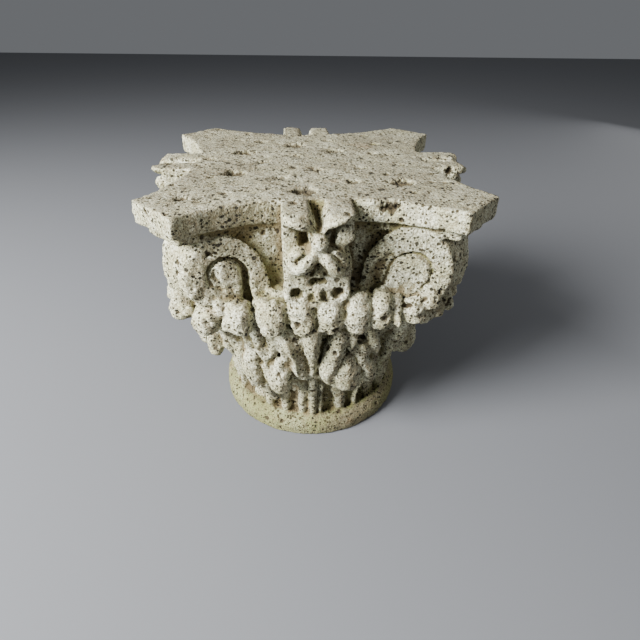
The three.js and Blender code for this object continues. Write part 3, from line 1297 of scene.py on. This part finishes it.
Colour = tuple[float, float, float, float]


@dataclass(frozen=True)
class StoneFinish:
    """Cream shell stone: darker grey on the top face, pored all over, stained where water lies, with
    dirt and painted shade in the hollows and painted shade on faces turned to the right.
    """

    cream: Colour = (0.58, 0.575, 0.37, 1.0)
    pale: Colour = (0.835, 0.85, 0.645, 1.0)
    grey: Colour = (0.21, 0.205, 0.16, 1.0)
    moss: Colour = (0.20, 0.22, 0.08, 1.0)
    lichen: Colour = (0.21, 0.235, 0.07, 1.0)
    painted_side_shade_colour: Colour = (0.21, 0.185, 0.125, 1.0)
    olive: Colour = (0.17, 0.165, 0.06, 1.0)
    rust: Colour = (0.38, 0.21, 0.08, 1.0)
    brown: Colour = (0.20, 0.155, 0.08, 1.0)
    dirt_and_shade: Colour = (0.055, 0.042, 0.024, 1.0)
    pore: Colour = (0.018, 0.015, 0.010, 1.0)
    silt: Colour = (0.065, 0.052, 0.022, 1.0)

    def pores(
        self, nodes: Nodes, where: Socket, scale: float, size: Any, share: float, ragged: Socket,
    ) -> Socket:
        """A layer of pores: 1 in a pore and 0 on the stone between. Most are small.

        Args:
            nodes: The material's nodes.
            where: The position.
            scale: Cells to a metre.
            size: The widest pore, as a share of a cell.
            share: The share of cells that hold one.
            ragged: A noise that frays the edges.

        Returns:
            The mask.
        """
        settings = {"voronoi_dimensions": "3D", "feature": "F1"}
        values = {"Vector": where, "Scale": scale, "Randomness": 1.0}
        distance = nodes.node("ShaderNodeTexVoronoi", settings, values, "Distance")
        luck = nodes.node("ShaderNodeTexVoronoi", settings, values, "Color")
        red = nodes.node("ShaderNodeSeparateColor", {}, {"Color": luck}, "Red")
        chance = ((red - (1 - share)) / share).highest(0.0)
        radius = chance * (chance * 0.6 + 0.4) * size
        return (radius - distance + (ragged - 0.5) * 0.22 * chance).ramp(0.0, 0.05)

    def material(self) -> bpy.types.Material:
        """The finished material."""
        nodes = Nodes("porous_stone")
        place = nodes.node("ShaderNodeTexCoord", {}, {}, "Object")
        warp = nodes.node(
            "ShaderNodeTexNoise", {"noise_dimensions": "3D"},
            {"Vector": place, "Scale": 130.0, "Detail": 2.0}, "Color",
        )
        offset = nodes.node(
            "ShaderNodeVectorMath", {"operation": "MULTIPLY_ADD"},
            {0: warp, 1: (0.0035, 0.0035, 0.0035), 2: place}, "Vector",
        )
        stretched = nodes.node(
            "ShaderNodeMapping", {}, {"Vector": offset, "Scale": (1.0, 1.0, 1.1)}, "Vector"
        )
        vug = nodes.node("ShaderNodeAttribute", {"attribute_name": "vug"}, {}, "Fac")
        hollow = nodes.node("ShaderNodeAttribute", {"attribute_name": "hollow"}, {}, "Fac")
        top = nodes.node("ShaderNodeAttribute", {"attribute_name": "top"}, {}, "Fac")
        damp = nodes.node("ShaderNodeAttribute", {"attribute_name": "damp"}, {}, "Fac")
        painted_side_shade = nodes.node("ShaderNodeAttribute", {"attribute_name": "painted_side_shade"}, {}, "Fac")

        def cloud(scale: float, detail: float = 4.0, rough: float = 0.6) -> Socket:
            """A noise value at a scale."""
            return nodes.node(
                "ShaderNodeTexNoise", {"noise_dimensions": "3D"},
                {"Vector": place, "Scale": scale, "Detail": detail, "Roughness": rough}, "Fac",
            )

        broad, patch, speckle = cloud(7.0), cloud(34.0), cloud(330.0, 3.0, 0.7)
        crumb, grit = cloud(120.0, 3.0, 0.7), cloud(470.0, 1.0, 0.5)
        fine = self.pores(nodes, stretched, 230.0, 0.56, 0.95, speckle)
        medium = self.pores(nodes, stretched, 112.0, top * 0.06 + 0.31, 0.8, speckle)
        coarse = self.pores(nodes, stretched, 48.0, top * 0.06 + 0.19, 0.6, speckle)
        base = nodes.mix(patch.ramp(0.35, 0.65), self.cream, self.pale)
        # The top face is mixed towards a darker grey in blotches.
        base = nodes.mix(top * broad.ramp(0.3, 0.7, 0.45, 0.9), base, self.grey)
        base = nodes.mix(damp * broad.ramp(0.3, 0.65, 0.62, 1.0), base, self.moss)
        base = nodes.mix(damp.ramp(0.75, 1.0, 0.0, 0.4), base, self.lichen)
        # Painted shade: faces turned to the right, away from the window lamp, are painted darker.
        base = nodes.mix(painted_side_shade * broad.ramp(0.2, 0.6, 0.5, 0.85), base, self.painted_side_shade_colour)
        stain = cloud(16.0).ramp(0.62, 0.75) * 0.35
        base = nodes.mix(stain, base, self.rust)
        # Dirt and painted shade in the hollows: the deeper a point lies in a hollow, the browner and
        # then darker it is painted.
        shade = nodes.mix(broad.ramp(0.42, 0.58), self.brown, self.olive)
        base = nodes.mix(hollow.ramp(0.08, 0.5, 0.0, 0.85), base, shade)
        base = nodes.mix(hollow.ramp(0.6, 1.0, 0.0, 0.5), base, self.dirt_and_shade)
        base = nodes.mix(speckle.ramp(0.38, 0.60, 0.72, 0.0), base, self.brown)
        base = nodes.mix(grit.ramp(0.36, 0.50, 0.6, 0.0), base, self.dirt_and_shade)
        holes = fine.highest(medium).highest(coarse)
        # The vugs are painted dark inside: dirt and painted shade in the pits.
        base = nodes.mix(vug.ramp(0.05, 0.6, 0.0, 0.9), base, self.dirt_and_shade)
        filled = nodes.mix(patch.ramp(0.45, 0.6, 0.0, 0.7), self.pore, self.silt)
        base = nodes.mix(holes * 0.94, base, filled)
        nodes.join(nodes.shader.inputs["Base Color"], base)
        nodes.join(nodes.shader.inputs["Roughness"], patch.ramp(0.2, 0.8, 0.86, 0.97))
        nodes.shader.inputs["Specular IOR Level"].default_value = 0.2
        height = speckle * 1.1 + crumb * 2.2 - fine * 0.7 - medium * 1.4 - coarse * 2.2
        bump = nodes.node(
            "ShaderNodeBump", {}, {"Height": height, "Strength": 1.0, "Distance": 0.0018}, "Normal"
        )
        nodes.join(nodes.shader.inputs["Normal"], bump)
        return nodes.material


class Capital:
    """The whole capital as one piece of stone."""

    def __init__(self, finish: StoneFinish, weather: Weathering) -> None:
        """Keeps the finish and the weathering."""
        self.finish = finish
        self.weather = weather
        self.block = Block("capital_stone")

    def carve(self) -> None:
        """Fuses the forms and cuts the grooves."""
        volutes = Volutes()
        fleurons = [
            Fleuron(Side.FRONT, centre=-5.0), Fleuron(Side.RIGHT), Fleuron(Side.BACK),
            Fleuron(Side.LEFT),
        ]
        self.block.add(BaseRing().forms() + Abacus().forms() + volutes.forms())
        for fleuron in fleurons:
            self.block.add(fleuron.forms())
        for side in Side:
            self.block.add(MiddleLeaf(side).forms())
            self.block.add(LowerLeaf(side, 1).forms())
            self.block.add(LowerLeaf(side, -1, egg=side is Side.RIGHT).forms())
        for corner in corner_leaves():
            self.block.add(corner.forms())
        self.block.fuse(FUSED_VOXEL)
        points = self.block.points
        for groove in volutes.grooves():
            points = groove.cut(points)
        for fleuron in fleurons:
            for groove in fleuron.grooves():
                points = groove.cut(points)
        points[:, 2] = np.clip(points[:, 2], 0.0, HEIGHT)
        self.block.points = points
        self.block.fuse(CARVED_VOXEL)
        LOG.info("carved: %d points", len(self.block.piece.data.vertices))

    def weathered(self) -> None:
        """Wears the block and marks the vugs, the hollows for dirt and painted shade, the top, the
        damp, and the right-facing sides for painted shade.
        """
        block = self.block
        points = block.relaxed(block.points, rounds=1, share=0.4)
        block.points = points
        points, vug = self.weather.gnawed(points, block.normals)
        points[:, 2] = np.clip(points[:, 2], 0.0, HEIGHT)
        block.points = points
        block.mark("vug", vug)
        block.thin(TRIANGLES)
        points, normals = block.points, block.normals
        # How far each point sinks below its smoothed neighbours; the material paints dirt and shade in
        # these hollows.
        soft = block.relaxed(points, rounds=24, share=0.6)
        hollow = ((soft - points) * normals).sum(1)
        block.mark("hollow", np.clip(hollow / 5.0, 0, 1))
        top = (points[:, 2] > HEIGHT - 6) * np.clip((normals[:, 2] - 0.5) / 0.4, 0, 1)
        block.mark("top", top)
        height = points[:, 2]
        ring = fading(height, 36, 48)
        rise = fading(height, 45, 235)
        pool = np.clip(hollow / 3.0, 0, 1) * np.clip((height - 330) / 20, 0, 1)
        block.mark("damp", np.clip(0.1 + 0.3 * rise + 0.9 * ring + 0.8 * pool, 0, 1))
        # Painted shade for faces turned to the right, away from the window lamp; it eases off where
        # they face fully right.
        rightward = normals[:, 0]
        turned_away = 1 - 0.75 * np.clip((rightward - 0.4) / 0.4, 0, 1)
        block.mark("painted_side_shade", np.clip(rightward * 3.6 + 0.1, 0, 1) * turned_away)

    def build(self) -> bpy.types.Object:
        """Carves, weathers and finishes the capital.

        Returns:
            The piece, in metres, riding on its body in place of the CAD node.
        """
        self.carve()
        self.weathered()
        piece = self.block.piece
        piece.data.transform(Matrix.Scale(UNIT, 4))
        piece.data.polygons.foreach_set("use_smooth", [True] * len(piece.data.polygons))
        piece.data.materials.clear()
        piece.data.materials.append(self.finish.material())
        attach(piece, "root")
        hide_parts("capital")
        LOG.info("%s: %d faces", piece.name, len(piece.data.polygons))
        return piece


@dataclass(frozen=True)
class Studio:
    """Plain floor, soft light, and the camera."""

    lens: float = 25.26
    sensor: float = 36.0
    stand: tuple[float, float, float] = (-0.0435, -0.7134, 0.6273)
    yaw: float = 4.834
    pitch: float = 34.572
    roll: float = 0.999

    def camera(self) -> None:
        """Sets the camera at its stand."""
        data = bpy.data.cameras.new("camera")
        data.lens = self.lens
        data.sensor_width = self.sensor
        data.dof.use_dof = False
        data.clip_start = 0.01
        camera = bpy.data.objects.new("camera", data)
        bpy.context.scene.collection.objects.link(camera)
        yaw, pitch, roll = (math.radians(a) for a in (self.yaw, self.pitch, self.roll))
        ahead = Vector((
            math.sin(yaw) * math.cos(pitch), math.cos(yaw) * math.cos(pitch), -math.sin(pitch)
        ))
        level = Vector((math.cos(yaw), -math.sin(yaw), 0))
        upright = level.cross(ahead)
        right = level * math.cos(roll) + upright * math.sin(roll)
        up = upright * math.cos(roll) - level * math.sin(roll)
        turn = Matrix((right, up, -ahead)).transposed().to_4x4()
        camera.matrix_world = Matrix.Translation(self.stand) @ turn
        bpy.context.scene.camera = camera

    def floor(self) -> None:
        """Lays a plain grey floor."""
        bm = bmesh.new()
        bmesh.ops.create_grid(bm, x_segments=1, y_segments=1, size=8.0)
        mesh = bpy.data.meshes.new("floor")
        bm.to_mesh(mesh)
        bm.free()
        floor = bpy.data.objects.new("floor", mesh)
        bpy.context.scene.collection.objects.link(floor)
        nodes = Nodes("plain_floor")
        nodes.shader.inputs["Base Color"].default_value = (0.14, 0.145, 0.155, 1.0)
        nodes.shader.inputs["Roughness"].default_value = 0.8
        mesh.materials.append(nodes.material)

    def lamp(self, name: str, spot: Vector, size: float, power: float) -> None:
        """Hangs a square soft lamp that looks at the capital.

        Args:
            name: The lamp's name.
            spot: Where it hangs, in metres.
            size: Its side, in metres.
            power: Its power, in watts.
        """
        data = bpy.data.lights.new(name, "AREA")
        data.size = size
        data.energy = power
        lamp = bpy.data.objects.new(name, data)
        lamp.location = spot
        lamp.rotation_mode = "QUATERNION"
        lamp.rotation_quaternion = (Vector((0, 0, 0.25)) - spot).to_track_quat("-Z", "Y")
        bpy.context.scene.collection.objects.link(lamp)

    def light(self) -> None:
        """Sets the sky and the lamps."""
        world = bpy.data.worlds.new("room")
        world.use_nodes = True
        sky = world.node_tree.nodes["Background"]
        sky.inputs["Color"].default_value = (0.90, 0.94, 1.0, 1.0)
        sky.inputs["Strength"].default_value = 0.16
        bpy.context.scene.world = world
        self.lamp("window", Vector((-2.05, -1.2, 1.72)), 1.25, 390.0)
        self.lamp("fill", Vector((0.9, -2.6, 1.2)), 2.4, 7.0)
        self.lamp("wall", Vector((2.4, 1.2, 1.3)), 2.6, 24.0)

    def build(self) -> None:
        """Sets up everything round the capital."""
        self.camera()
        self.floor()
        self.light()


def main() -> None:
    """Builds the studio and the capital."""
    logging.basicConfig(level=logging.INFO, format="%(message)s")
    Studio().build()
    capital = Capital(StoneFinish(), Weathering())
    piece = capital.build()
    LOG.info("piece %s ready", piece.name)


if __name__ == "__main__":
    main()
